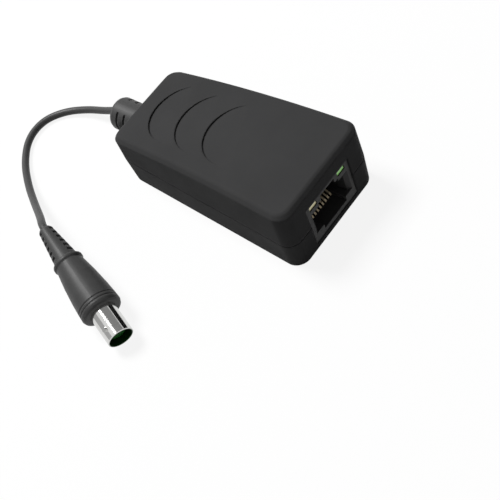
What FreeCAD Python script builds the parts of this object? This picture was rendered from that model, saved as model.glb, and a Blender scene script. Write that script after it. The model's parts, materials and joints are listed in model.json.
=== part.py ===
import FreeCAD, Part
import math
import os
from FreeCAD import Placement, Rotation, Vector

# Ethernet over coax extender: a small two-shell plastic case with a network
# socket in one end, and a short coax lead with a moulded plug at the other.
# Millimetres. +X runs from the cable end to the network socket, +Z is up, and
# the origin is under the middle of the case, on the surface it rests on.

# Case, measured on its outside
case_length = 57.4
cable_end_width = 25.1
network_end_width = 30.6
cable_end_height = 15.25
network_end_height = 18.6
top_crown = 1.29
split_height = 8.0
wall = 1.6
corner_radius = 3.5
top_edge_chamfer = 1.1
top_edge_softening = 0.35
upper_draft = 1.3
lower_draft = 1.6

# Joint between the two shells: a lip inside a rebate, and a fine outer seam
lip_height = 1.2
lip_thickness = 0.7
lip_gap = 0.1
seam_height = 0.16
seam_depth = 0.35

# Three scooped steps in the top face
scoop_count = 3
scoop_radius = 9.1
scoop_pitch = 9.15
first_scoop_x = -13.57
scoop_y = 0.46
scoop_depth = 0.42
scoop_turn = 25.0

# Network socket
jack_width = 16.0
jack_height = 12.3
jack_depth = 16.4
jack_recess = 0.3
jack_gap = 0.06
port_width = 12.1
port_height = 6.6
port_depth = 13.0
port_top_wall = 3.1
port_flare = 1.0
port_flare_depth = 0.8
latch_width = 5.3
latch_height = 2.2
latch_step_width = 7.6
latch_step_height = 0.85
contact_bay_width = 8.6
contact_bay_height = 1.3
contact_count = 8
contact_pitch = 1.016
contact_width = 0.46
contact_thickness = 0.28
contact_slot_gap = 0.04
contact_tip_height = 6.9
contact_front_setback = 3.9
light_width = 2.5
light_height = 1.1
light_spacing = 10.65
light_below_top = 1.25
light_length = 11.0
light_recess = 0.25
light_gap = 0.1
lead_size = 0.4
lead_spacing = 1.27
wing_reach = 3.0
wing_length = 8.0
wing_thickness = 1.2
peg_radius = 0.75

# Circuit board and what stands on it
board_thickness = 1.2
board_underside = 4.2
board_edge_gap = 0.5
board_corner_clip = 1.4
board_cable_gap = 6.1
jack_notch_gap = 0.3
hole_gap = 0.1
post_radius = 1.7
pin_radius = 0.8
pin_rise = 1.0
solder_gap = 0.02
transformer_length = 9.6
transformer_width = 12.4
transformer_height = 5.8
transformer_pins = 8
chip_size = 8.0
chip_height = 1.0
ring_outer_radius = 2.7
ring_inner_radius = 1.2
ring_height = 2.4
ring_turns = 7
turn_thickness = 0.3
inductor_size = 5.6
inductor_height = 3.0
capacitor_radius = 2.5
capacitor_height = 5.4
crystal_length = 5.0
crystal_width = 3.2
crystal_height = 1.1
chip_part_length = 1.6
chip_part_width = 0.8
chip_part_height = 0.6

# Lead and its strain relief at the case
cord_radius = 1.0
cord_fit = 0.04
core_radius = 0.25
relief_height = 5.45
relief_radius = 4.4
relief_length = 12.3
relief_rounding = 0.9
relief_neck_radius = 2.9
relief_neck_gap = 0.08
relief_flange_length = 1.5
relief_flange_radius = 3.6
relief_groove_count = 3
relief_groove_pitch = 2.5
relief_groove_width = 0.7
relief_groove_depth = 0.45
relief_first_groove = 2.6
relief_rib_half_angle = 30.0

# Plug: a bayonet coax socket in a moulded boot
shell_radius = 3.25
shell_wall = 0.4
shell_reach = 7.86
shell_seat = 5.0
stud_radius = 0.55
stud_rise = 0.45
stud_from_rim = 2.6
stud_angle = 32.0
insulator_radius = 2.05
insulator_recess = 1.5
insulator_flange = 2.0
contact_socket_radius = 0.6
contact_socket_bore = 0.3
contact_socket_depth = 2.5
ferrule_radius = 1.9
ferrule_length = 6.0
boot_radius = 5.05
boot_front_rounding = 0.8
boot_swell_radius = 4.8
boot_waist_radius = 3.5
boot_body_length = 14.3
boot_body_steps = 3
rounding_steps = 2
boot_bead_radius = 3.8
boot_bead_length = 1.5
tail_base_radius = 3.1
tail_end_radius = 1.75
tail_length = 10.6
tail_rounding = 0.5
tail_groove_count = 6
tail_groove_width = 0.75
tail_groove_depth = 0.5
tail_rib_half_angle = 38.0
ring_line_count = 2
ring_line_depth = 0.2
ring_line_width = 0.4
ring_line_pitch = 0.9
first_ring_line = 0.6

# Where the plug lies, and the lead's free run between the two ends
plug_x = -4.5
plug_y = -47.5
plug_heading = -18.8
cord_first_run = 4.0
cord_last_run = 4.0
cord_route = [
    (-52.1, -1.4, 2.4),
    (-59.5, -3.1, 1.1),
    (-65.1, -8.4, 1.0),
    (-65.4, -15.6, 1.0),
    (-60.8, -22.3, 1.0),
    (-54.2, -27.4, 1.0),
    (-47.1, -30.8, 4.8),
    (-39.8, -33.0, 9.5),
]

# Values that follow from the sizes above
end_x = case_length / 2
jack_face_x = end_x - jack_recess
jack_rear_x = jack_face_x - jack_depth
jack_bottom = wall + jack_gap / 2
jack_top = jack_bottom + jack_height
port_top = jack_top - port_top_wall
port_bottom = port_top - port_height
port_rear_x = jack_face_x - port_depth
bay_bottom = port_bottom - contact_bay_height
board_top = board_underside + board_thickness
board_cable_x = -end_x + wall + board_cable_gap
board_notch_x = jack_rear_x - jack_notch_gap
relief_end_x = -end_x - relief_length
boot_face = -shell_reach
boot_ring = boot_face - boot_front_rounding
boot_waist = boot_ring - boot_body_length
tail_base = boot_waist - boot_bead_length
tail_end = tail_base - tail_length
plug_tilt = math.degrees(math.atan2(boot_radius - shell_radius, -boot_ring))


def box(x0, x1, y0, y1, z0, z1):
    """A block between two corners."""
    return Part.makeBox(x1 - x0, y1 - y0, z1 - z0, Vector(x0, y0, z0))


def rod(radius, start, end):
    """A round bar from one point to another."""
    along = end - start
    return Part.makeCylinder(radius, along.Length, start, along)


def prism(points, along):
    """A closed polygon swept along a vector."""
    return Part.Face(Part.makePolygon(points + points[:1])).extrude(along)


def turned(points):
    """A closed profile of (x, radius) points turned about the X axis."""
    face = Part.Face(Part.makePolygon([Vector(x, 0, r) for x, r in points + points[:1]]))
    return face.revolve(Vector(), Vector(1, 0, 0), 360)


def rounded_edge(face_x, radius, rounding, toward):
    """Profile points round an outer edge, from the end face to the side, in short chords."""
    points = []
    for step in range(rounding_steps + 1):
        angle = math.radians(90) * step / rounding_steps
        back = rounding * (1 - math.cos(angle))
        points.append((face_x - toward * back, radius - rounding * (1 - math.sin(angle))))
    return points


def bent_strip(points, thickness, width, y):
    """A flat strip that follows (x, z) points, centred on y."""
    sides = ([], [])
    for i, (x, z) in enumerate(points):
        before = points[max(i - 1, 0)]
        after = points[min(i + 1, len(points) - 1)]
        arrive = Vector(x - before[0], 0, z - before[1])
        leave = Vector(after[0] - x, 0, after[1] - z)
        if i == 0:
            arrive = leave
        if i == len(points) - 1:
            leave = arrive
        arrive.normalize()
        leave.normalize()
        normal = Vector(-arrive.z - leave.z, 0, arrive.x + leave.x).normalize()
        reach = thickness / 2 / (normal.x * -arrive.z + normal.z * arrive.x)
        for side, sign in zip(sides, (1, -1)):
            side.append(Vector(x, y - width / 2, z) + normal * (sign * reach))
    return prism(sides[0] + sides[1][::-1], Vector(0, width, 0))


def save(name, shape):
    """Writes one piece as its own file."""
    shape.exportStep("parts/" + name + ".step")


# Case

def half_width(x):
    """Half the case's width on the split line."""
    slope = (network_end_width - cable_end_width) / (2 * case_length)
    return (network_end_width + cable_end_width) / 4 + slope * x


def top_height(x):
    """Height of the crowned top face, before its steps."""
    slope = (network_end_height - cable_end_height) / case_length
    middle = (network_end_height + cable_end_height) / 2
    return middle + slope * x + top_crown * (1 - (x / end_x) ** 2)


def plan_corners(z, side_inset, end_inset):
    """The case's tapered outline at one height, moved in from sides and ends."""
    x = end_x - end_inset
    near = half_width(-x) - side_inset
    far = half_width(x) - side_inset
    return [Vector(-x, -near, z), Vector(x, -far, z), Vector(x, far, z), Vector(-x, near, z)]


def drafted_block(low, high, inset, side_draft, end_draft):
    """A tapered block with drafted walls and round upright corners."""
    outlines = []
    for z in (low, high):
        away = abs(z - split_height)
        side = inset + away * math.tan(math.radians(side_draft))
        end = inset + away * math.tan(math.radians(end_draft))
        corners = plan_corners(z, side, end)
        outlines.append(Part.makePolygon(corners + corners[:1]))
    block = Part.makeLoft(outlines, True, True)
    upright = []
    for edge in block.Edges:
        a, b = edge.Vertexes[0].Point, edge.Vertexes[-1].Point
        if abs(a.z - b.z) > (high - low) / 2:
            upright.append(edge)
    return block.makeFillet(max(corner_radius - inset, 0.5), upright)


def upper_block(inset):
    """The upper shell's form, solid, moved in by inset all round."""
    margin = 3.0
    block = drafted_block(split_height, network_end_height + top_crown + margin, inset, upper_draft, 0)
    reach = end_x + margin
    arc = crown_arc(reach, inset)
    ends = [arc.StartPoint, arc.EndPoint]
    low = split_height - margin
    sides = Part.makePolygon([ends[1], Vector(reach, 0, low), Vector(-reach, 0, low), ends[0]])
    profile = Part.Face(Part.Wire([arc.toShape()] + sides.Edges))
    profile.translate(Vector(0, -network_end_width, 0))
    return block.common(profile.extrude(Vector(0, 2 * network_end_width, 0)))


def crown_arc(reach, drop):
    """The top face's arc, seen from the side."""
    points = [Vector(x, 0, top_height(x) - drop) for x in (-reach, 0, reach)]
    return Part.Arc(*points)


def top_rim(block):
    """The edges round the top face."""
    rim = []
    for edge in block.Edges:
        middle = edge.valueAt((edge.FirstParameter + edge.LastParameter) / 2)
        on_top = all(abs(v.Point.z - top_height(v.Point.x)) < 0.05 for v in edge.Vertexes)
        if on_top and middle.z > split_height + 1:
            rim.append(edge)
    return rim


def softened_top(block):
    """Breaks the edge between the top face and the walls in two flat steps."""
    block = block.makeChamfer(top_edge_chamfer, top_rim(block))
    return block.makeChamfer(top_edge_softening, top_rim(block))


def scoop(centre_x):
    """What one step removes: a disc whose floor rises until it meets the top."""
    reach = end_x + 3.0
    arc = crown_arc(reach, 0)
    lift = 4.0
    over = [Vector(reach, 0, arc.EndPoint.z + lift), Vector(-reach, 0, arc.StartPoint.z + lift)]
    sides = Part.makePolygon([arc.EndPoint] + over + [arc.StartPoint])
    cover = Part.Face(Part.Wire([arc.toShape()] + sides.Edges)).extrude(Vector(0, 4 * scoop_radius, 0))
    cover.translate(Vector(0, -2 * scoop_radius, 0))
    fall = math.degrees(math.atan(scoop_depth / scoop_radius))
    turn = math.radians(scoop_turn)
    hinge = Vector(-math.sin(turn), math.cos(turn), 0)
    cover.rotate(Vector(centre_x, scoop_y, top_height(centre_x)), hinge, -fall)
    foot = Vector(centre_x, scoop_y, top_height(centre_x) - wall)
    disc = Part.makeCylinder(scoop_radius, wall + lift / 2, foot)
    return disc.common(cover)


def straight_block(low, high, inset):
    """The case's outline on the split line, moved in and drawn straight up."""
    return drafted_block(low, high, inset, 0, 0)


def ring_between(low, high, outer_inset, inner_inset):
    """An upright band of the case wall."""
    inner = straight_block(low - 1, high + 1, inner_inset)
    return straight_block(low, high, outer_inset).cut(inner)


def post_places():
    """Where the board is carried: two posts at the cable end, two beside the socket."""
    cable_x = board_cable_x + 2.4
    cable_y = half_width(cable_x) - wall - board_edge_gap - 1.15 * post_radius
    jack_x = jack_face_x - 3.2
    jack_y = half_width(jack_x) - wall - board_edge_gap - 1.3 * post_radius
    return [(cable_x, -cable_y), (cable_x, cable_y), (jack_x, -jack_y), (jack_x, jack_y)]


def jack_window():
    """The opening in the end wall, split between the two shells."""
    half = jack_width / 2 + jack_gap
    return box(end_x - 2 * wall, end_x + 1, -half, half, jack_bottom - jack_gap, jack_top + jack_gap)


def relief_slot():
    """The slot in the cable end wall that the strain relief's neck drops into."""
    radius = relief_neck_radius + relief_neck_gap
    x0 = -end_x - 1
    x1 = -end_x + wall + 1
    bore = rod(radius, Vector(x0, 0, relief_height), Vector(x1, 0, relief_height))
    top = split_height + lip_height + lip_gap
    return bore.fuse(box(x0, x1, -radius, radius, relief_height, top))


def relief_tongue():
    """The upper shell's tongue, which closes the slot over the neck."""
    top = split_height + lip_height + 2 * lip_gap
    half = relief_neck_radius - relief_neck_gap
    blank = box(-end_x, -end_x + wall, -half, half, relief_height, top)
    outside = drafted_block(0, split_height, 0, lower_draft, lower_draft)
    outside = outside.fuse(straight_block(split_height, top, 0))
    bore_radius = relief_neck_radius + relief_neck_gap
    bore = rod(bore_radius, Vector(-end_x - 1, 0, relief_height), Vector(-end_x + wall + 1, 0, relief_height))
    return blank.common(outside).cut(bore)


def upper_shell():
    """The top shell: crowned, drafted, with three scooped steps."""
    outer = softened_top(upper_block(0))
    shell = outer.cut(upper_block(wall))
    for x, y in post_places():
        foot = Vector(x, y, board_top + hole_gap)
        column = Part.makeCylinder(post_radius, network_end_height + top_crown - foot.z, foot)
        socket = Part.makeCylinder(pin_radius + hole_gap, pin_rise + hole_gap, foot)
        shell = shell.fuse(column.common(outer.fuse(below_split()))).cut(socket)
    for number in range(scoop_count):
        shell = shell.cut(scoop(first_scoop_x + number * scoop_pitch))
    rebate_top = split_height + lip_height + lip_gap
    shell = shell.cut(ring_between(split_height, rebate_top, wall - lip_thickness - lip_gap, wall + 0.3))
    shell = shell.cut(ring_between(split_height, split_height + seam_height, -1, seam_depth))
    shell = shell.fuse(relief_tongue()).cut(jack_window())
    neck_radius = relief_neck_radius + relief_neck_gap
    neck = rod(neck_radius, Vector(-end_x - 1, 0, relief_height), Vector(-end_x + wall + 1, 0, relief_height))
    return shell.cut(neck).removeSplitter()


def below_split():
    """The space under the split line, inside the case."""
    return drafted_block(0, split_height, wall, lower_draft, lower_draft)


def lower_shell():
    """The bottom shell: floor, lip, board posts with pins."""
    shell = drafted_block(0, split_height, 0, lower_draft, lower_draft)
    shell = shell.cut(drafted_block(wall, split_height, wall, lower_draft, lower_draft))
    lip = ring_between(split_height - 0.5, split_height + lip_height, wall - lip_thickness, wall)
    shell = shell.fuse(lip)
    for x, y in post_places():
        shell = shell.fuse(rod(post_radius, Vector(x, y, wall / 2), Vector(x, y, board_underside)))
        shell = shell.fuse(rod(pin_radius, Vector(x, y, wall), Vector(x, y, board_top + pin_rise)))
    return shell.cut(jack_window()).cut(relief_slot()).removeSplitter()


# Network socket

def light_y(side):
    """The centre of one indicator light, across the socket."""
    return side * light_spacing / 2


def light_z():
    """The height of the indicator lights."""
    return jack_top - light_below_top


def contact_y(number):
    """The place of one contact across the socket."""
    return (number - (contact_count - 1) / 2) * contact_pitch


def jack_housing():
    """The socket's moulded body."""
    half = jack_width / 2
    body = box(jack_rear_x, jack_face_x, -half, half, jack_bottom, jack_top)
    front = jack_face_x + 1
    body = body.cut(box(port_rear_x, front, -port_width / 2, port_width / 2, port_bottom, port_top))
    body = body.cut(port_mouth())
    step_top = port_top + latch_step_height
    body = body.cut(box(port_rear_x, front, -latch_step_width / 2, latch_step_width / 2, port_top, step_top))
    notch_top = port_top + latch_height
    body = body.cut(box(port_rear_x, front, -latch_width / 2, latch_width / 2, port_top, notch_top))
    bay = contact_bay_width / 2
    body = body.cut(box(jack_rear_x - 1, front, -bay, bay, bay_bottom, port_bottom))
    body = body.cut(box(jack_rear_x - 1, port_rear_x, -bay, bay, bay_bottom, carrier_top() + jack_gap / 2))
    for side in (-1, 1):
        y = light_y(side)
        across = light_width / 2 + light_gap
        up = light_height / 2 + light_gap
        z = light_z()
        body = body.cut(box(jack_rear_x - 1, front, y - across, y + across, z - up, z + up))
        body = body.fuse(jack_wing(side))
    return body.removeSplitter()


def port_mouth():
    """The flare that leads a plug in from either side."""
    inside = port_width / 2
    outside = inside + port_flare
    back = jack_face_x - port_flare_depth
    corners = [(back, -inside), (jack_face_x, -outside), (jack_face_x, outside), (back, inside)]
    return prism([Vector(x, y, port_bottom) for x, y in corners], Vector(0, 0, port_height))


def wing_x():
    """The middle of the flanges that sit on the board, along the case."""
    return jack_rear_x + wing_length / 2 + 1.5


def wing_peg_y(side):
    """The place of one flange's peg across the case."""
    return side * (jack_width / 2 + wing_reach / 2)


def jack_wing(side):
    """One side flange with the peg that locates it in the board."""
    x = wing_x()
    y = sorted((side * (jack_width / 2 - 0.5), side * (jack_width / 2 + wing_reach)))
    flange = box(x - wing_length / 2, x + wing_length / 2, y[0], y[1], board_top, board_top + wing_thickness)
    peg_y = wing_peg_y(side)
    peg = rod(peg_radius, Vector(x, peg_y, board_underside - 0.5), Vector(x, peg_y, board_top + 0.5))
    return flange.fuse(peg)


def carrier_top():
    """The top of the insert that holds the contacts."""
    return max(board_top, port_bottom) + 1.4


def contact_path():
    """One contact from its solder foot to its sprung tip, as (x, z) points."""
    foot_z = board_top + solder_gap + contact_thickness / 2
    run_z = bay_bottom + 0.1 + contact_thickness / 2
    front_x = jack_face_x - contact_front_setback
    tip_x = port_rear_x + 3.6
    return [
        (board_notch_x - 2.0, foot_z),
        (jack_rear_x + 0.6, foot_z),
        (jack_rear_x + 1.6, run_z),
        (front_x - 0.5, run_z),
        (front_x, run_z + 0.4),
        (front_x - 0.3, run_z + 0.85),
        (tip_x, contact_tip_height),
    ]


def contact_carrier():
    """The insert at the back of the socket, slotted for the contacts."""
    half = contact_bay_width / 2 - jack_gap / 2
    x0 = jack_rear_x + jack_gap
    x1 = port_rear_x - jack_gap
    carrier = box(x0, x1, -half, half, bay_bottom + 0.05, carrier_top())
    slot_half = contact_width / 2 + contact_slot_gap
    path = contact_path()
    low = min(z for x, z in path) - contact_thickness / 2 - contact_slot_gap
    high = path[0][1] + contact_thickness / 2 + contact_slot_gap
    for number in range(contact_count):
        y = contact_y(number)
        carrier = carrier.cut(box(x0 - 1, x1 + 1, y - slot_half, y + slot_half, low, high))
    return carrier


def light_body(side):
    """One indicator light: a rectangular lens with its lamp at the back."""
    y = light_y(side)
    z = light_z()
    half = light_width / 2
    up = light_height / 2
    x1 = jack_face_x - light_recess
    return box(x1 - light_length, x1, y - half, y + half, z - up, z + up)


def light_leads(side):
    """The two leads of one light, bent down behind the socket to the board."""
    x1 = jack_face_x - light_recess - light_length
    leads = []
    for sign in (-1, 1):
        y = light_y(side) + sign * lead_spacing / 2
        path = [(x1, light_z()), (jack_rear_x - 0.9, light_z()), (jack_rear_x - 0.9, board_top + solder_gap)]
        leads.append(bent_strip(path, lead_size, lead_size, y))
    return Part.makeCompound(leads)


# Circuit board

def circuit_board():
    """The board, tapered with the case and notched round the socket."""
    inset = wall + board_edge_gap
    far_x = end_x - wall - board_edge_gap
    near = half_width(board_cable_x) - inset
    far = half_width(far_x) - inset
    x0 = board_cable_x
    corners = [(x0, -near), (far_x, -far), (far_x, far), (x0, near)]
    blank = prism([Vector(x, y, board_underside) for x, y in corners], Vector(0, 0, board_thickness))
    far_corners = [e for e in blank.Edges if all(v.Point.x > far_x - 0.01 for v in e.Vertexes)
                   and abs(e.Vertexes[0].Point.z - e.Vertexes[-1].Point.z) > board_thickness / 2]
    blank = blank.makeChamfer(board_corner_clip, far_corners)
    half = jack_width / 2 + jack_notch_gap
    low = board_underside - 1
    high = board_top + 1
    board = blank.cut(box(board_notch_x, far_x + 1, -half, half, low, high))
    for x, y in post_places():
        board = board.cut(rod(pin_radius + hole_gap, Vector(x, y, low), Vector(x, y, high)))
    for side in (-1, 1):
        x = wing_x()
        y = wing_peg_y(side)
        board = board.cut(rod(peg_radius + hole_gap, Vector(x, y, low), Vector(x, y, high)))
    return board


def on_board(x, y, length, width, height):
    """A rectangular part standing on the board, centred on (x, y)."""
    z = board_top + solder_gap
    return box(x - length / 2, x + length / 2, y - width / 2, y + width / 2, z, z + height)


def transformer_x():
    """The middle of the network transformer, just behind the socket's feet."""
    return board_notch_x - 4.6 - transformer_length / 2


def network_transformer():
    """The transformer's moulded block, lifted a little on its leads."""
    block = on_board(transformer_x(), 0, transformer_length, transformer_width, transformer_height)
    ridge = box(transformer_x() - 1, transformer_x() + 1, -transformer_width, transformer_width, 0, board_top + 0.4)
    return block.cut(ridge)


def network_transformer_leads():
    """Gull-wing leads along the transformer's two long sides."""
    leads = []
    pitch = transformer_width / transformer_pins
    foot_z = board_top + solder_gap + 0.125
    for side in (-1, 1):
        edge = transformer_x() + side * (transformer_length / 2 + 0.02)
        for number in range(transformer_pins):
            y = (number - (transformer_pins - 1) / 2) * pitch
            path = [(edge, foot_z + 1.4), (edge + side * 0.6, foot_z + 1.4), (edge + side * 0.9, foot_z)]
            path.append((edge + side * 1.7, foot_z))
            leads.append(bent_strip(path, 0.25, 0.5, y))
    return Part.makeCompound(leads)


def chip_place():
    """The middle of the line chip, between the transformer and the lead."""
    x = transformer_x() - transformer_length / 2 - 3.0 - chip_size / 2
    return x, 1.0


def modem_chip():
    """The line chip: a flat square package with a corner dot."""
    x, y = chip_place()
    chip = on_board(x, y, chip_size, chip_size, chip_height)
    corner = Vector(x - chip_size / 2 + 1, y + chip_size / 2 - 1, board_top + solder_gap + chip_height - 0.1)
    return chip.cut(Part.makeCylinder(0.35, 1, corner))


def ring_place():
    """The middle of the coax transformer's ring."""
    x, y = chip_place()
    across = y - chip_size / 2 - ring_outer_radius - 2 * turn_thickness
    return x - chip_size / 2 - 1.3, across


def coax_transformer_core():
    """The ferrite ring that couples the coax line."""
    x, y = ring_place()
    z = board_top + solder_gap + turn_thickness + 0.05
    outer = Part.makeCylinder(ring_outer_radius, ring_height, Vector(x, y, z))
    return outer.cut(Part.makeCylinder(ring_inner_radius, ring_height, Vector(x, y, z)))


def coax_transformer_winding():
    """Wire turns round the ring, spread over most of its circle."""
    x, y = ring_place()
    z0 = board_top + solder_gap
    gap = 0.04
    z1 = z0 + ring_height + 2 * turn_thickness + 0.1
    inner = ring_inner_radius - turn_thickness - gap
    outer = ring_outer_radius + turn_thickness + gap
    half = turn_thickness / 2
    turns = []
    for number in range(ring_turns):
        loop = box(inner, outer, -half, half, z0, z1)
        hole = box(inner + turn_thickness, outer - turn_thickness, -1, 1, z0 + turn_thickness, z1 - turn_thickness)
        loop = loop.cut(hole)
        loop.rotate(Vector(), Vector(0, 0, 1), 40 + number * 280 / (ring_turns - 1))
        loop.translate(Vector(x, y, 0))
        turns.append(loop)
    return Part.makeCompound(turns)


def power_inductor():
    """A shielded inductor with clipped corners."""
    x = transformer_x() - transformer_length / 2 - 2.4 - inductor_size / 2
    y = -half_width(x) + wall + board_edge_gap + 0.8 + inductor_size / 2
    body = on_board(x, y, inductor_size, inductor_size, inductor_height)
    upright = [e for e in body.Edges if abs(e.Vertexes[0].Point.z - e.Vertexes[-1].Point.z) > 1]
    return body.makeChamfer(0.9, upright)


def filter_capacitor():
    """An electrolytic can on its square base."""
    x = board_cable_x + 4.6 + capacitor_radius + 2 * post_radius
    y = half_width(x) - wall - board_edge_gap - 0.6 - capacitor_radius
    base = on_board(x, y, 2 * capacitor_radius + 0.3, 2 * capacitor_radius + 0.3, 0.8)
    z = board_top + solder_gap
    can = Part.makeCylinder(capacitor_radius, capacitor_height, Vector(x, y, z))
    waist = z + 1.5
    outer = Part.makeCylinder(capacitor_radius + 1, 0.4, Vector(x, y, waist))
    groove = outer.cut(Part.makeCylinder(capacitor_radius - 0.2, 0.4, Vector(x, y, waist)))
    return base.fuse(can).cut(groove)


def crystal():
    """The clock crystal in its flat metal can."""
    x, y = chip_place()
    x = x + 1.0
    place_y = half_width(x) - wall - board_edge_gap - 0.5 - crystal_width / 2
    can = on_board(x + 3.2, place_y, crystal_length, crystal_width, crystal_height)
    upright = [e for e in can.Edges if abs(e.Vertexes[0].Point.z - e.Vertexes[-1].Point.z) > 0.5]
    return can.makeFillet(0.5, upright)


def chip_parts():
    """Small resistors and capacitors beside the socket and the lead."""
    parts = []
    wing_edge = jack_width / 2 + wing_reach
    for side in (-1, 1):
        for number in range(3):
            x = wing_x() + (number - 1) * 2.4
            y = side * (wing_edge + 0.3 + chip_part_width / 2)
            parts.append(on_board(x, y, chip_part_length, chip_part_width, chip_part_height))
    for number in range(4):
        x = board_cable_x + 4.4
        parts.append(on_board(x, 2.2 + number * 1.5, chip_part_length, chip_part_width, chip_part_height))
    return Part.makeCompound(parts)


# Lead and strain relief

def grooves(first_x, pitch, count, width, radius, depth, rib_half_angle, skip=None):
    """Ring grooves about the X axis, left out along a rib above and below."""
    tools = []
    for number in range(count):
        x = first_x + number * pitch
        outer_radius = radius(x) + 1
        ring = Part.makeCylinder(outer_radius, width, Vector(x, 0, 0), Vector(1, 0, 0))
        core = Part.makeCylinder(radius(x + width / 2) - depth, width, Vector(x, 0, 0), Vector(1, 0, 0))
        ring = ring.cut(core)
        half = outer_radius * math.tan(math.radians(rib_half_angle))
        for up in (-1, 1):
            points = [Vector(x, 0, 0), Vector(x, -half, up * outer_radius), Vector(x, half, up * outer_radius)]
            ring = ring.cut(prism(points, Vector(width, 0, 0)))
        tools.append(ring)
    return tools


def strain_relief():
    """The moulded relief: grooved barrel, neck in the wall, flange behind it."""
    flange_drop = split_height - (relief_height - relief_flange_radius)
    wall_in = -end_x + wall + flange_drop * math.tan(math.radians(lower_draft)) + lip_gap
    flange_end = wall_in + relief_flange_length
    bore = cord_radius + cord_fit
    end = rounded_edge(relief_end_x, relief_radius, relief_rounding, -1)
    relief = turned([(relief_end_x, bore)] + end + [
        (-end_x, relief_radius), (-end_x, relief_neck_radius), (wall_in, relief_neck_radius),
        (wall_in, relief_flange_radius), (flange_end, relief_flange_radius), (flange_end, bore)])
    first = relief_end_x + relief_first_groove
    tools = grooves(first, relief_groove_pitch, relief_groove_count, relief_groove_width,
                    lambda x: relief_radius, relief_groove_depth, relief_rib_half_angle)
    relief = relief.cut(Part.makeCompound(tools))
    relief.translate(Vector(0, 0, relief_height))
    return relief


def jacket_end_x():
    """Where the lead's jacket ends inside the case."""
    return board_cable_x - 1.6


def inner_cable():
    """The lead's length inside the relief and the case."""
    start = Vector(relief_end_x, 0, relief_height)
    return rod(cord_radius, start, Vector(jacket_end_x(), 0, relief_height))


def wire(points, radius):
    """A thin round wire through points, mitred at its corners."""
    path = Part.makePolygon(points)
    circle = Part.Circle(points[0], points[1] - points[0], radius)
    section = Part.Wire(circle.toShape())
    return path.makePipeShell([section], True, False, 1)


def coax_core_wire():
    """The centre conductor, from the jacket's end to its pad."""
    x = jacket_end_x()
    rest_z = board_top + solder_gap + core_radius
    points = [Vector(x, 0, relief_height), Vector(x + 0.5, 0, relief_height)]
    points.append(Vector(board_cable_x - 0.2, 0, rest_z + 0.1))
    points.append(Vector(board_cable_x + 2.6, 0, rest_z))
    return wire(points, core_radius)


def coax_braid_lead():
    """The twisted braid, led to its ground pad."""
    x = jacket_end_x()
    rest_z = board_top + solder_gap + core_radius
    y = -cord_radius + core_radius + 0.05
    points = [Vector(x, y, relief_height), Vector(x + 0.4, y, relief_height)]
    points.append(Vector(board_cable_x - 0.2, y - 1.0, rest_z + 0.1))
    points.append(Vector(board_cable_x + 2.4, y - 2.2, rest_z))
    return wire(points, core_radius)


# Plug, drawn along X with its mouth at x = 0, then laid on the surface

def plug_placement():
    """Lays the plug on its boot's widest ring and its own rim."""
    turn = Rotation(Vector(0, 0, 1), plug_heading).multiply(Rotation(Vector(0, 1, 0), plug_tilt))
    ring = turn.multVec(Vector(boot_ring, 0, 0))
    height = boot_radius * math.cos(math.radians(plug_tilt))
    return Placement(Vector(plug_x, plug_y, height) - ring, turn)


def laid(shape):
    """Puts a plug piece where the plug lies."""
    placed = shape.copy()
    placed.Placement = plug_placement().multiply(placed.Placement)
    return placed


def boot_body_radius(x):
    """The boot's radius on its swollen body."""
    t = (boot_ring - x) / boot_body_length
    return boot_radius * (1 - t) ** 2 + 2 * boot_swell_radius * t * (1 - t) + boot_waist_radius * t ** 2


def tail_radius(x):
    """The boot's radius on its thin tail."""
    t = (tail_base - x) / tail_length
    return tail_base_radius + (tail_end_radius - tail_base_radius) * t


def ring_lines():
    """Profile points of the fine V-shaped lines behind the boot's widest ring."""
    points = []
    half = ring_line_width / 2
    for number in range(ring_line_count):
        x = boot_ring - first_ring_line - number * ring_line_pitch
        points.append((x + half, boot_body_radius(x + half)))
        points.append((x, boot_body_radius(x) - ring_line_depth))
        points.append((x - half, boot_body_radius(x - half)))
    return points


def boot_outline():
    """The boot's profile, from its front face over the swollen grip and the bead to its tail."""
    points = [(boot_face, 0)] + rounded_edge(boot_face, boot_radius, boot_front_rounding, 1) + ring_lines()
    for step in range(1, boot_body_steps + 1):
        x = boot_ring - boot_body_length * step / boot_body_steps
        points.append((x, boot_body_radius(x)))
    points.append((boot_waist - boot_bead_length / 3, boot_bead_radius))
    points.append((tail_base + boot_bead_length / 3, boot_bead_radius))
    points.append((tail_base, tail_base_radius))
    end_flat = tail_end + tail_rounding
    end_slope = tail_radius(end_flat)
    return points + [(end_flat, end_slope), (tail_end, end_slope - tail_rounding * 0.6), (tail_end, 0)]


def plug_boot():
    """The moulded boot: swollen grip, bead, and a grooved flexible tail."""
    boot = turned(boot_outline())
    pitch = tail_length / (tail_groove_count + 0.6)
    tools = grooves(tail_end + 0.5 * pitch, pitch, tail_groove_count, tail_groove_width,
                    tail_radius, tail_groove_depth, tail_rib_half_angle)
    return boot.cut(Part.makeCompound(tools)).cut(boot_bore())


def boot_bore():
    """The hollow that holds the shell's root, the ferrule and the lead."""
    seat = boot_face - shell_seat
    shell_hole = shell_radius + cord_fit
    ferrule_hole = ferrule_radius + cord_fit
    lead_hole = cord_radius + cord_fit
    ferrule_end = seat - ferrule_length
    points = [(boot_face + 1, 0), (boot_face + 1, shell_hole), (seat - cord_fit, shell_hole),
              (seat - cord_fit, ferrule_hole), (ferrule_end, ferrule_hole), (ferrule_end, lead_hole),
              (tail_end - 1, lead_hole), (tail_end - 1, 0)]
    return turned(points)


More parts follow.
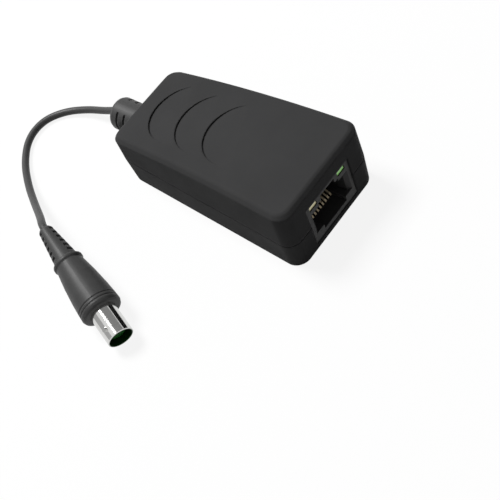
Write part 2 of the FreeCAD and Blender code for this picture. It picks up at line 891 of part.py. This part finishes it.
def plug_shell():
    """The metal barrel with its two bayonet studs."""
    root = boot_face - shell_seat
    inner = shell_radius - shell_wall
    shell = turned([(0, inner), (0, shell_radius), (root, shell_radius), (root, ferrule_radius - 0.5),
                    (root + 1, ferrule_radius - 0.5), (root + 1, inner)])
    mouth = [e for e in shell.Edges if abs(e.CenterOfMass.x) < 0.01]
    shell = shell.makeChamfer(0.12, mouth)
    for side in (-1, 1):
        angle = math.radians(stud_angle)
        outward = Vector(0, -side * math.sin(angle), side * math.cos(angle))
        centre = Vector(-stud_from_rim, 0, 0)
        stud = rod(stud_radius, centre + outward * (shell_radius - shell_wall / 2),
                   centre + outward * (shell_radius + stud_rise))
        shell = shell.fuse(stud)
    return shell


def plug_insulator():
    """The insulating core inside the barrel, with a wider foot at its root."""
    root = boot_face - shell_seat + 1 + cord_fit
    inner = shell_radius - shell_wall - cord_fit
    front = -insulator_recess
    foot = root + insulator_flange
    hole = contact_socket_radius + cord_fit
    return turned([(front, hole), (front, insulator_radius), (foot, insulator_radius), (foot, inner),
                   (root, inner), (root, hole)])


def plug_center_contact():
    """The centre contact: a split-free socket that grips the mating pin."""
    root = boot_face - shell_seat - 1.5
    front = -insulator_recess - 0.3
    bore_end = front - contact_socket_depth
    socket = turned([(front, contact_socket_bore), (front, contact_socket_radius), (root, contact_socket_radius),
                     (root, 0), (bore_end, 0), (bore_end, contact_socket_bore)])
    return socket


def crimp_ferrule():
    """The crimped tube that grips the lead's braid behind the barrel."""
    start = boot_face - shell_seat - cord_fit
    end = start - ferrule_length + 2 * cord_fit
    inner = cord_radius + cord_fit
    return turned([(start, inner), (start, ferrule_radius), (end, ferrule_radius), (end, inner)])


def plug_inner_cable():
    """The lead's length inside the boot, up to the ferrule."""
    start = boot_face - shell_seat - 2.0
    return rod(cord_radius, Vector(tail_end, 0, 0), Vector(start, 0, 0))


# Free lead

def cord_points():
    """The lead's route: out of the relief, along the surface, up to the boot."""
    lie = plug_placement()
    start = Vector(relief_end_x, 0, relief_height)
    finish = lie.multVec(Vector(tail_end, 0, 0))
    before = lie.multVec(Vector(tail_end - cord_last_run, 0, 0))
    middle = [Vector(x, y, max(z, cord_radius)) for x, y, z in cord_route]
    return [start, start - Vector(cord_first_run, 0, 0)] + middle + [before, finish]


def cord():
    """The free lead: straight runs joined by arcs that touch both."""
    points = cord_points()
    edges = []
    last = points[0]
    radii = []
    for before, corner, after in zip(points, points[1:], points[2:]):
        back = (before - corner)
        ahead = (after - corner)
        trim = 0.45 * min(back.Length, ahead.Length)
        back.normalize()
        ahead.normalize()
        turn = math.pi - back.getAngle(ahead)
        radius = trim / math.tan(turn / 2)
        radii.append(radius)
        enter = corner + back * trim
        leave = corner + ahead * trim
        inward = (back + ahead).normalize()
        centre = corner + inward * math.hypot(radius, trim)
        middle = centre - inward * radius
        edges.append(Part.LineSegment(last, enter).toShape())
        edges.append(Part.Arc(enter, middle, leave).toShape())
        last = leave
    edges.append(Part.LineSegment(last, points[-1]).toShape())
    path = Part.Wire(edges)
    circle = Part.Circle(points[0], points[1] - points[0], cord_radius)
    tube = path.makePipeShell([Part.Wire(circle.toShape())], True, False, 1)
    expected = math.pi * cord_radius ** 2 * path.Length
    print("cord radii", [round(r, 1) for r in radii])
    print("cord length", round(path.Length, 2), "volume", round(tube.Volume, 2), "expected", round(expected, 2))
    return tube


os.makedirs("parts", exist_ok=True)
save("upper_shell", upper_shell())
save("lower_shell", lower_shell())
save("jack_housing", jack_housing())
save("contact_carrier", contact_carrier())
for contact_number in range(contact_count):
    strip = bent_strip(contact_path(), contact_thickness, contact_width, contact_y(contact_number))
    save("jack_contact_" + str(contact_number + 1), strip)
for light_name, light_side in (("amber_light", -1), ("green_light", 1)):
    save(light_name, light_body(light_side))
    save(light_name + "_leads", light_leads(light_side))
save("circuit_board", circuit_board())
save("network_transformer", network_transformer())
save("network_transformer_leads", network_transformer_leads())
save("modem_chip", modem_chip())
save("coax_transformer_core", coax_transformer_core())
save("coax_transformer_winding", coax_transformer_winding())
save("power_inductor", power_inductor())
save("filter_capacitor", filter_capacitor())
save("crystal", crystal())
save("chip_parts", chip_parts())
save("strain_relief", strain_relief())
save("inner_cable", inner_cable())
save("coax_core_wire", coax_core_wire())
save("coax_braid_lead", coax_braid_lead())
save("cord", cord())
save("plug_boot", laid(plug_boot()))
save("plug_shell", laid(plug_shell()))
save("plug_insulator", laid(plug_insulator()))
save("plug_center_contact", laid(plug_center_contact()))
save("crimp_ferrule", laid(crimp_ferrule()))
save("plug_inner_cable", laid(plug_inner_cable()))
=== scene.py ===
import json
import math

import bpy
from mathutils import Matrix, Vector


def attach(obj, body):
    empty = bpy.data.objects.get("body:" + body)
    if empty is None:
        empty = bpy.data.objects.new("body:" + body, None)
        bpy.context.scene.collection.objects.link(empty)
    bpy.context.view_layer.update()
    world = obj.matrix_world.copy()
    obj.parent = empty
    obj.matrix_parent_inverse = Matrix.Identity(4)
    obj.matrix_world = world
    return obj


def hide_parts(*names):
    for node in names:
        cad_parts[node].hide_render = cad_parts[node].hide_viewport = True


# Looks for an ethernet over coax extender: materials, the free lead, lights and
# camera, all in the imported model's own frame, in metres.

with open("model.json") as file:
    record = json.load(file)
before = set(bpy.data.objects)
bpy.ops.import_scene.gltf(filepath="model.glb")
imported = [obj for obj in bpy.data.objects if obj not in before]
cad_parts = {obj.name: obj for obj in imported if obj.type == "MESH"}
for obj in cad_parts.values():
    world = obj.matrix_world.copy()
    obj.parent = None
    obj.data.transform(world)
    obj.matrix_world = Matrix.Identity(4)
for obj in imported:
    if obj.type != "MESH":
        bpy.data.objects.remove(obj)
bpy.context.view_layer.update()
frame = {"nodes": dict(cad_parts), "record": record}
nodes = frame["nodes"]


# Camera: where it stands, which way it looks in degrees, and its focal length in pixels

camera_place = Vector((0.13566, -0.08678, 0.18231))
camera_azimuth = 59.8541
camera_elevation = 52.361
camera_roll = -27.093
focal_pixels = 992.43
image_pixels = 500
sensor_width = 36.0
nearest_seen = 0.01


def place_camera():
    """Stands the camera where the case's edges fall on those of the photograph."""
    azimuth = math.radians(camera_azimuth)
    elevation = math.radians(camera_elevation)
    roll = math.radians(camera_roll)
    back = Vector((
        math.sin(azimuth) * math.cos(elevation),
        -math.cos(azimuth) * math.cos(elevation),
        math.sin(elevation),
    ))
    level = Vector((math.cos(azimuth), math.sin(azimuth), 0))
    upright = back.cross(level)
    right = level * math.cos(roll) + upright * math.sin(roll)
    up = upright * math.cos(roll) - level * math.sin(roll)
    lens = bpy.data.cameras.new("camera")
    lens.sensor_width = sensor_width
    lens.lens = focal_pixels * sensor_width / image_pixels
    lens.clip_start = nearest_seen
    camera = bpy.data.objects.new("camera", lens)
    bpy.context.scene.collection.objects.link(camera)
    turned = Matrix((right, up, back)).transposed().to_4x4()
    camera.matrix_world = Matrix.Translation(camera_place) @ turned
    bpy.context.scene.camera = camera


place_camera()


# Plug: which way it points in degrees, the middle of the boot's front ring, and its sizes

plug_heading = -18.8
plug_tilt = 11.742
boot_ring = Vector((-0.0045, -0.0475, 0.004944))
tail_from_ring = 0.0264
barrel_radius = 0.00325


def plug_axis():
    """The way the plug points, from its tail to its mouth."""
    heading = math.radians(plug_heading)
    tilt = math.radians(plug_tilt)
    return Vector((
        math.cos(heading) * math.cos(tilt),
        math.sin(heading) * math.cos(tilt),
        -math.sin(tilt),
    ))


# Free lead: the control points of its route, from the relief to the boot

lead_radius = 0.001
lead_exit = (-0.0410, 0.0, 0.00545)
lead_route = [
    (-0.0427, 0.0, 0.00545),
    (-0.0477, -0.0005, 0.0035),
    (-0.0549, -0.0015, 0.0018),
    (-0.0617, -0.0046, 0.0010),
    (-0.0656, -0.0099, 0.0010),
    (-0.0650, -0.0166, 0.0010),
    (-0.0598, -0.0232, 0.0010),
    (-0.0517, -0.0288, 0.0020),
    (-0.0427, -0.0332, 0.0046),
    (-0.0350, -0.0364, 0.0081),
]
lead_last_run = 0.0014
steps_between_points = 14
steps_round_lead = 5


def free_lead():
    """The lead as a smooth round tube on its route's control points."""
    tail = boot_ring - plug_axis() * tail_from_ring
    points = [Vector(lead_exit)] + [Vector(p) for p in lead_route]
    points += [tail - plug_axis() * lead_last_run, tail]
    curve = bpy.data.curves.new("lead_jacket", "CURVE")
    curve.dimensions = "3D"
    curve.resolution_u = steps_between_points
    curve.bevel_depth = 1.0
    curve.bevel_resolution = steps_round_lead
    curve.use_fill_caps = True
    spline = curve.splines.new("NURBS")
    spline.points.add(len(points) - 1)
    for control, point in zip(spline.points, points):
        control.co = (*point, 1)
        control.radius = lead_radius
    spline.order_u = 3
    spline.use_endpoint_u = True
    spline.use_smooth = True
    jacket = bpy.data.objects.new("lead_jacket", curve)
    bpy.context.scene.collection.objects.link(jacket)
    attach(jacket, "root")
    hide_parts("cord")
    return jacket


lead = free_lead()


# Node helpers

def add(tree, kind, values=None, **settings):
    """Adds a node, sets its properties, and fills or links its inputs."""
    made = tree.nodes.new(kind)
    for key, value in settings.items():
        setattr(made, key, value)
    for key, value in (values or {}).items():
        if isinstance(value, bpy.types.NodeSocket):
            tree.links.new(value, made.inputs[key])
        else:
            made.inputs[key].default_value = value
    return made


def reckon(tree, operation, *values):
    """A math node's result."""
    made = add(tree, "ShaderNodeMath", dict(enumerate(values)), operation=operation)
    return made.outputs[0]


def stretch(tree, value, low, high, to_low=0.0, to_high=1.0):
    """A value mapped from one range to another, and held inside it."""
    limits = {"Value": value, "From Min": low, "From Max": high, "To Min": to_low, "To Max": to_high}
    return add(tree, "ShaderNodeMapRange", limits).outputs[0]


def mix_colours(tree, share, first, second):
    """A colour between two others."""
    return add(tree, "ShaderNodeMix", {0: share, 6: first, 7: second}, data_type="RGBA").outputs[2]


def noise(tree, place, scale, detail, roughness=0.5):
    """Cloudy noise at a place, as one value."""
    values = {"Vector": place, "Scale": scale, "Detail": detail, "Roughness": roughness}
    return add(tree, "ShaderNodeTexNoise", values).outputs[0]


def here(tree):
    """The place on the object, in metres."""
    return add(tree, "ShaderNodeTexCoord").outputs["Object"]


def open_group(name, inputs, outputs):
    """A shader node group with named sockets, and its two end nodes."""
    tree = bpy.data.node_groups.new(name, "ShaderNodeTree")
    for label, kind, value in inputs:
        socket = tree.interface.new_socket(label, in_out="INPUT", socket_type=kind)
        socket.default_value = value
    for label, kind in outputs:
        tree.interface.new_socket(label, in_out="OUTPUT", socket_type=kind)
    return tree, tree.nodes.new("NodeGroupInput"), tree.nodes.new("NodeGroupOutput")


# Effects that several finishes share

def make_mould_grain():
    """Spark-eroded mould texture: soft pits of mixed size."""
    tree, given, result = open_group(
        "mould_grain",
        [("Scale", "NodeSocketFloat", 3000.0), ("Coarse Share", "NodeSocketFloat", 0.4)],
        [("Height", "NodeSocketFloat")],
    )
    place = here(tree)
    scale = given.outputs["Scale"]
    share = given.outputs["Coarse Share"]
    pits = add(tree, "ShaderNodeTexVoronoi", {"Vector": place, "Scale": scale, "Smoothness": 0.6},
               feature="SMOOTH_F1").outputs["Distance"]
    coarse = noise(tree, place, reckon(tree, "MULTIPLY", scale, 0.35), 3.0)
    fine_part = reckon(tree, "MULTIPLY", pits, reckon(tree, "SUBTRACT", 1.0, share))
    height = reckon(tree, "ADD", fine_part, reckon(tree, "MULTIPLY", coarse, share))
    tree.links.new(height, result.inputs["Height"])
    return tree


def make_tone_drift():
    """Slow change of tone over a moulded, plated or painted surface."""
    tree, given, result = open_group(
        "tone_drift",
        [
            ("Dark Tone", "NodeSocketColor", (0.02, 0.02, 0.02, 1)),
            ("Light Tone", "NodeSocketColor", (0.03, 0.03, 0.03, 1)),
            ("Scale", "NodeSocketFloat", 60.0),
        ],
        [("Color", "NodeSocketColor"), ("Mask", "NodeSocketFloat")],
    )
    slow = noise(tree, here(tree), given.outputs["Scale"], 4.0, 0.6)
    mask = stretch(tree, slow, 0.3, 0.7)
    colour = mix_colours(tree, mask, given.outputs["Dark Tone"], given.outputs["Light Tone"])
    tree.links.new(colour, result.inputs["Color"])
    tree.links.new(mask, result.inputs["Mask"])
    return tree


def make_edge_rub_and_sheen():
    """A mask along outside edges, broken up as handling leaves it, for edges lightened partly by rubbing and
    partly as a painted highlight, and a normal that rounds them.
    """
    tree, given, result = open_group(
        "edge_rub_and_sheen",
        [("Width", "NodeSocketFloat", 0.0003), ("Amount", "NodeSocketFloat", 0.5)],
        [("Mask", "NodeSocketFloat"), ("Normal", "NodeSocketVector")],
    )
    soft = add(tree, "ShaderNodeBevel", {"Radius": given.outputs["Width"]}, samples=6).outputs[0]
    sharp = add(tree, "ShaderNodeNewGeometry").outputs["Normal"]
    facing = add(tree, "ShaderNodeVectorMath", {0: soft, 1: sharp}, operation="DOT_PRODUCT")
    edge = stretch(tree, facing.outputs["Value"], 0.999, 0.9)
    broken = stretch(tree, noise(tree, here(tree), 900.0, 4.0), 0.35, 0.6)
    mask = reckon(tree, "MULTIPLY", reckon(tree, "MULTIPLY", edge, broken), given.outputs["Amount"])
    tree.links.new(mask, result.inputs["Mask"])
    tree.links.new(soft, result.inputs["Normal"])
    return tree


def make_handling_marks():
    """Faint smudges and rubbed patches that change a surface's gloss."""
    tree, given, result = open_group(
        "handling_marks",
        [
            ("Scale", "NodeSocketFloat", 90.0),
            ("Low", "NodeSocketFloat", 0.4),
            ("High", "NodeSocketFloat", 0.6),
        ],
        [("Roughness", "NodeSocketFloat")],
    )
    place = here(tree)
    bent = add(tree, "ShaderNodeTexNoise", {"Vector": place, "Scale": 40.0, "Detail": 2.0})
    pushed = add(tree, "ShaderNodeVectorMath", {0: bent.outputs["Color"], "Scale": 0.004}, operation="SCALE")
    moved = add(tree, "ShaderNodeVectorMath", {0: place, 1: pushed.outputs[0]}, operation="ADD")
    patches = noise(tree, moved.outputs[0], given.outputs["Scale"], 5.0, 0.65)
    rough = stretch(tree, patches, 0.3, 0.7, given.outputs["Low"], given.outputs["High"])
    tree.links.new(rough, result.inputs["Roughness"])
    return tree


def make_hairlines():
    """Fine lines left by turning or drawing metal, across a chosen axis."""
    tree, given, result = open_group(
        "hairlines",
        [("Axis", "NodeSocketVector", (1.0, 0.0, 0.0)), ("Scale", "NodeSocketFloat", 9000.0)],
        [("Height", "NodeSocketFloat")],
    )
    along = add(tree, "ShaderNodeVectorMath", {0: here(tree), 1: given.outputs["Axis"]},
                operation="DOT_PRODUCT").outputs["Value"]
    values = {"W": along, "Scale": given.outputs["Scale"], "Detail": 3.0, "Roughness": 0.7}
    lines = add(tree, "ShaderNodeTexNoise", values, noise_dimensions="1D").outputs[0]
    tree.links.new(lines, result.inputs["Height"])
    return tree


mould_grain = make_mould_grain()
tone_drift = make_tone_drift()
edge_rub_and_sheen = make_edge_rub_and_sheen()
handling_marks = make_handling_marks()
hairlines = make_hairlines()


# Finishes

def open_material(name):
    """A material with its Principled shader, ready for links."""
    material = bpy.data.materials.new(name)
    material.use_nodes = True
    return material, material.node_tree, material.node_tree.nodes["Principled BSDF"]


def use(tree, group, values):
    """Places a shared effect in a material and fills or links its inputs."""
    return add(tree, "ShaderNodeGroup", values, node_tree=group)


def shade(red, green=None, blue=None):
    """A linear colour, grey if only one number is given."""
    if green is None:
        return (red, red, red, 1)
    return (red, green, blue, 1)


def moulded(name, dark, light, rubbed_and_sheen_tone, rough, grain, specular=0.3, drift=60.0, edge=0.0003, rubbed_and_sheen_amount=0.5):
    """A moulded plastic or rubber: tone drift, grain, soft edges lightened partly by rubbing and partly as a
    painted highlight, and handling marks.

    rough is its least and greatest roughness, and grain its scale, coarse share, strength and depth.
    """
    material, tree, shader = open_material(name)
    tone = use(tree, tone_drift, {"Dark Tone": dark, "Light Tone": light, "Scale": drift})
    edges = use(tree, edge_rub_and_sheen, {"Width": edge, "Amount": rubbed_and_sheen_amount})
    # Painted highlight: the edges take a lighter tone, partly from rubbing and partly as a painted sheen
    # along them.
    colour = mix_colours(tree, edges.outputs["Mask"], tone.outputs["Color"], rubbed_and_sheen_tone)
    tree.links.new(colour, shader.inputs["Base Color"])
    marks = use(tree, handling_marks, {"Low": rough[0], "High": rough[1]})
    tree.links.new(marks.outputs["Roughness"], shader.inputs["Roughness"])
    scale, coarse, strength, depth = grain
    texture = use(tree, mould_grain, {"Scale": scale, "Coarse Share": coarse})
    bump = add(tree, "ShaderNodeBump", {
        "Height": texture.outputs["Height"], "Normal": edges.outputs["Normal"],
        "Strength": strength, "Distance": depth,
    })
    tree.links.new(bump.outputs[0], shader.inputs["Normal"])
    shader.inputs["Specular IOR Level"].default_value = specular
    return material


hairline_depth = 0.000004


def metal(name, dark, light, rough, axis, line_scale, strength):
    """A bare or plated metal with hairlines across an axis and a slow change of tone."""
    material, tree, shader = open_material(name)
    tone = use(tree, tone_drift, {"Dark Tone": dark, "Light Tone": light, "Scale": 220.0})
    tree.links.new(tone.outputs["Color"], shader.inputs["Base Color"])
    marks = use(tree, handling_marks, {"Scale": 260.0, "Low": rough[0], "High": rough[1]})
    tree.links.new(marks.outputs["Roughness"], shader.inputs["Roughness"])
    lines = use(tree, hairlines, {"Axis": axis, "Scale": line_scale})
    bump = add(tree, "ShaderNodeBump", {
        "Height": lines.outputs["Height"], "Strength": strength, "Distance": hairline_depth,
    })
    tree.links.new(bump.outputs[0], shader.inputs["Normal"])
    shader.inputs["Metallic"].default_value = 1.0
    return material


# Painted shade inside the plug's bore: between these radii the plating turns to a green-black, which also
# paints the insulator's reflection.
painted_shade_starts = barrel_radius - 0.0001
painted_shade_full = barrel_radius - 0.0003
bore_painted_shade = shade(0.003, 0.022, 0.004)
bore_roughness = 0.6


def barrel_metal(name, dark, light, rough):
    """The plug's plating: bright outside, and with painted shade down inside its bore, tinted green as a
    painted reflection of the insulator, and rougher there.
    """
    axis = tuple(plug_axis())
    material = metal(name, dark, light, rough, axis=axis, line_scale=9000.0, strength=0.02)
    tree = material.node_tree
    shader = tree.nodes["Principled BSDF"]
    from_ring = add(tree, "ShaderNodeVectorMath", {0: here(tree), 1: tuple(boot_ring)}, operation="SUBTRACT")
    across = add(tree, "ShaderNodeVectorMath", {0: from_ring.outputs[0], 1: axis}, operation="CROSS_PRODUCT")
    away = add(tree, "ShaderNodeVectorMath", {0: across.outputs[0]}, operation="LENGTH").outputs["Value"]
    inside = stretch(tree, away, painted_shade_starts, painted_shade_full)
    plated = shader.inputs["Base Color"].links[0].from_socket
    # Painted shade and a painted green reflection down inside the bore, in place of the bright plating.
    colour = mix_colours(tree, inside, plated, bore_painted_shade)
    tree.links.new(colour, shader.inputs["Base Color"])
    polished = shader.inputs["Roughness"].links[0].from_socket
    roughness = reckon(tree, "MAXIMUM", polished, reckon(tree, "MULTIPLY", inside, bore_roughness))
    tree.links.new(roughness, shader.inputs["Roughness"])
    return material


def lens_plastic(name, dark, light, glow, glow_strength):
    """Cloudy plastic over a small lamp, which glows more in some patches than in others."""
    material, tree, shader = open_material(name)
    tone = use(tree, tone_drift, {"Dark Tone": dark, "Light Tone": light, "Scale": 500.0})
    tree.links.new(tone.outputs["Color"], shader.inputs["Base Color"])
    marks = use(tree, handling_marks, {"Scale": 300.0, "Low": 0.18, "High": 0.32})
    tree.links.new(marks.outputs["Roughness"], shader.inputs["Roughness"])
    dim = tuple(0.35 * part for part in glow[:3]) + (1,)
    bright = mix_colours(tree, tone.outputs["Mask"], dim, glow)
    tree.links.new(bright, shader.inputs["Emission Color"])
    shader.inputs["Emission Strength"].default_value = glow_strength
    shader.inputs["Coat Weight"].default_value = 0.4
    return material


def board_material():
    """Solder mask over copper traces, with the weave showing through."""
    material, tree, shader = open_material("solder_mask")
    place = here(tree)
    spread = add(tree, "ShaderNodeMapping", {"Vector": place, "Scale": (420.0, 420.0, 420.0)}).outputs[0]
    cells = add(tree, "ShaderNodeTexBrick", {
        "Vector": spread, "Color1": shade(0.0), "Color2": shade(1.0), "Mortar": shade(0.4), "Scale": 1.0,
        "Mortar Size": 0.12, "Mortar Smooth": 0.3, "Brick Width": 1.6, "Row Height": 0.5,
    }).outputs["Color"]
    tracks = stretch(tree, cells, 0.35, 0.6)
    dark, light = shade(0.008, 0.07, 0.025), shade(0.012, 0.1, 0.035)
    tone = use(tree, tone_drift, {"Dark Tone": dark, "Light Tone": light, "Scale": 140.0})
    colour = mix_colours(tree, tracks, tone.outputs["Color"], shade(0.03, 0.18, 0.07))
    tree.links.new(colour, shader.inputs["Base Color"])
    weave = use(tree, mould_grain, {"Scale": 5200.0, "Coarse Share": 0.2})
    raised = reckon(tree, "ADD", reckon(tree, "MULTIPLY", weave.outputs["Height"], 0.3), tracks)
    bump = add(tree, "ShaderNodeBump", {"Height": raised, "Strength": 0.4, "Distance": 0.00003})
    tree.links.new(bump.outputs[0], shader.inputs["Normal"])
    marks = use(tree, handling_marks, {"Low": 0.25, "High": 0.4})
    tree.links.new(marks.outputs["Roughness"], shader.inputs["Roughness"])
    return material


# Each moulded finish's lighter edge tone is partly rubbing and partly a painted highlight.
finishes = {
    "case_plastic": moulded(
        "case_plastic", shade(0.046, 0.046, 0.0466), shade(0.052, 0.052, 0.0526), rubbed_and_sheen_tone=shade(0.09),
        rough=(0.5, 0.62), grain=(3400.0, 0.35, 0.35, 0.00002), specular=0.012, edge=0.0006, rubbed_and_sheen_amount=0.3),
    "socket_plastic": moulded(
        "socket_plastic", shade(0.05), shade(0.056), rubbed_and_sheen_tone=shade(0.1),
        rough=(0.36, 0.5), grain=(6000.0, 0.2, 0.15, 0.00001), specular=0.1, edge=0.00015, rubbed_and_sheen_amount=0.4),
    # Painted shade: the contacts' gold is kept far darker than clean plating, for the shade inside the port.
    "contact_gold": metal(
        "contact_gold", shade(0.15, 0.125, 0.085), shade(0.2, 0.17, 0.12),
        rough=(0.35, 0.5), axis=(0.0, 1.0, 0.0), line_scale=12000.0, strength=0.2),
    "amber_lens": lens_plastic(
        "amber_lens", shade(0.68, 0.6, 0.3), shade(0.84, 0.78, 0.48),
        glow=shade(0.9, 0.84, 0.5), glow_strength=0.25),
    "green_lens": lens_plastic(
        "green_lens", shade(0.18, 0.5, 0.1), shade(0.36, 0.74, 0.2),
        glow=shade(0.42, 0.95, 0.25), glow_strength=0.35),
    "tinned_metal": metal(
        "tinned_metal", shade(0.62), shade(0.74),
        rough=(0.28, 0.45), axis=(0.0, 0.0, 1.0), line_scale=9000.0, strength=0.3),
    "board_green": board_material(),
    "package_black": moulded(
        "package_black", shade(0.014), shade(0.02), rubbed_and_sheen_tone=shade(0.03),
        rough=(0.5, 0.65), grain=(5200.0, 0.3, 0.3, 0.00002)),
    "ferrite_grey": moulded(
        "ferrite_grey", shade(0.04), shade(0.065), rubbed_and_sheen_tone=shade(0.1),
        rough=(0.45, 0.65), grain=(4200.0, 0.5, 0.5, 0.00003)),
    "copper_wire": metal(
        "copper_wire", shade(0.62, 0.26, 0.12), shade(0.75, 0.36, 0.18),
        rough=(0.22, 0.38), axis=(1.0, 0.0, 0.0), line_scale=8000.0, strength=0.2),
    "can_aluminium": metal(
        "can_aluminium", shade(0.62), shade(0.72),
        rough=(0.25, 0.4), axis=(0.0, 0.0, 1.0), line_scale=7000.0, strength=0.35),
    "chip_part_tan": moulded(
        "chip_part_tan", shade(0.28, 0.2, 0.13), shade(0.38, 0.29, 0.2), rubbed_and_sheen_tone=shade(0.6),
        rough=(0.25, 0.4), grain=(6000.0, 0.3, 0.2, 0.00001), specular=0.5),
    "boot_rubber": moulded(
        "boot_rubber", shade(0.05), shade(0.057), rubbed_and_sheen_tone=shade(0.14),
        rough=(0.4, 0.5), grain=(5200.0, 0.3, 0.2, 0.00001), specular=0.2),
    "cord_jacket": moulded(
        "cord_jacket", shade(0.046), shade(0.054), rubbed_and_sheen_tone=shade(0.08),
        rough=(0.36, 0.46), grain=(5200.0, 0.5, 0.15, 0.00001), specular=0.25, edge=0.0002, rubbed_and_sheen_amount=0.1),
    "plug_nickel": barrel_metal(
        "plug_nickel", shade(0.6, 0.6, 0.59), shade(0.66, 0.66, 0.65), rough=(0.08, 0.14)),
    "insulator_green": moulded(
        "insulator_green", shade(0.002, 0.075, 0.005), shade(0.004, 0.11, 0.008),
        rubbed_and_sheen_tone=shade(0.02, 0.16, 0.03), rough=(0.35, 0.5), grain=(6000.0, 0.3, 0.2, 0.00001), specular=0.2),
}


def dress():
    """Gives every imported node, and the lead, the finish of its record slot."""
    for subpart in frame["record"]["subparts"]:
        node = nodes[subpart["node"]]
        finish = finishes[subpart["material_slot"]]
        if not node.material_slots:
            node.data.materials.append(finish)
        for slot in node.material_slots:
            slot.material = finish
    lead.data.materials.append(finishes["cord_jacket"])


dress()


# Stage: a pale floor, soft lamps, and cards that only reflections see

floor_half_width = 1.5
floor_drop = 0.00005
floor_seen_tone = shade(0.95)
floor_glow_share = 0.88
world_fill = 0.1
card_distance = 0.25
card_half_length = 0.16


def where_seen(tree):
    """One for rays from the camera, in reflections and through glass, and nought for others."""
    path = add(tree, "ShaderNodeLightPath")
    seen = reckon(tree, "MAXIMUM", path.outputs["Is Camera Ray"], path.outputs["Is Glossy Ray"])
    return reckon(tree, "MAXIMUM", seen, path.outputs["Is Transmission Ray"])


def make_sheet(name, corners):
    """A flat four-cornered sheet in the scene."""
    mesh = bpy.data.meshes.new(name)
    mesh.from_pydata([tuple(corner) for corner in corners], [], [(0, 1, 2, 3)])
    sheet = bpy.data.objects.new(name, mesh)
    bpy.context.scene.collection.objects.link(sheet)
    return sheet


def make_floor():
    """A pale floor that keeps a soft shadow."""
    half = floor_half_width
    floor = make_sheet("floor", [(-half, -half, 0), (half, -half, 0), (half, half, 0), (-half, half, 0)])
    floor.location.z = -floor_drop
    material, tree, shader = open_material("floor_paper")
    tone = use(tree, tone_drift, {"Dark Tone": shade(0.35), "Light Tone": shade(0.37), "Scale": 8.0})
    seen = where_seen(tree)
    colour = mix_colours(tree, seen, tone.outputs["Color"], floor_seen_tone)
    tree.links.new(colour, shader.inputs["Base Color"])
    shader.inputs["Roughness"].default_value = 0.9
    shader.inputs["Specular IOR Level"].default_value = 0.1
    glow = add(tree, "ShaderNodeEmission", {"Color": shade(1.0), "Strength": 1.0})
    share = reckon(tree, "MULTIPLY", seen, floor_glow_share)
    mixed = add(tree, "ShaderNodeMixShader", {0: share, 1: shader.outputs[0], 2: glow.outputs[0]})
    tree.links.new(mixed.outputs[0], tree.nodes["Material Output"].inputs["Surface"])
    floor.data.materials.append(material)


def make_world():
    """White to the camera and in reflections, and a gentler fill for the rest."""
    world = bpy.data.worlds.new("studio")
    world.use_nodes = True
    tree = world.node_tree
    background = tree.nodes["Background"]
    background.inputs["Color"].default_value = shade(1.0)
    strength = stretch(tree, where_seen(tree), 0.0, 1.0, world_fill, 1.0)
    tree.links.new(strength, background.inputs["Strength"])
    bpy.context.scene.world = world


def soft_lamp(name, direction, distance, size, power):
    """A square soft lamp that looks at the case."""
    lamp = bpy.data.lights.new(name, "AREA")
    lamp.size = size
    lamp.energy = power
    holder = bpy.data.objects.new(name, lamp)
    bpy.context.scene.collection.objects.link(holder)
    away = Vector(direction).normalized()
    holder.location = away * distance
    holder.rotation_mode = "QUATERNION"
    holder.rotation_quaternion = away.to_track_quat("Z", "Y")


def band_card(name, direction, half_width, tone):
    """A card that only reflections see, which draws one band along the plug's barrel."""
    toward = Vector(direction).normalized()
    centre = boot_ring + toward * card_distance
    along = plug_axis() * card_half_length
    across = plug_axis().cross(toward).normalized() * half_width
    card = make_sheet(name, [
        centre - across - along, centre + across - along,
        centre + across + along, centre - across + along,
    ])
    material, tree, shader = open_material(name)
    dark, light = shade(0.96 * tone), shade(tone)
    glow = use(tree, tone_drift, {"Dark Tone": dark, "Light Tone": light, "Scale": 10.0})
    tree.links.new(glow.outputs["Color"], shader.inputs["Emission Color"])
    shader.inputs["Emission Strength"].default_value = 1.0
    shader.inputs["Base Color"].default_value = shade(0.0)
    shader.inputs["Specular IOR Level"].default_value = 0.0
    card.data.materials.append(material)
    card.visible_camera = False
    card.visible_diffuse = False
    card.visible_shadow = False
    card.visible_transmission = False


make_floor()
make_world()
soft_lamp("key_lamp", (-0.6, -0.05, 1.0), distance=1.2, size=0.42, power=16.0)
soft_lamp("fill_lamp", (0.1, -1.0, 0.6), distance=0.9, size=0.7, power=0.2)
band_card("black_band", (-0.09, 0.92, 0.37), half_width=0.026, tone=0.0)
band_card("mid_band", (-0.145, 0.49, 0.86), half_width=0.135, tone=0.32)
band_card("left_band", (-0.72, -0.64, 0.1), half_width=0.17, tone=0.52)

bpy.context.scene.view_settings.view_transform = "Standard"
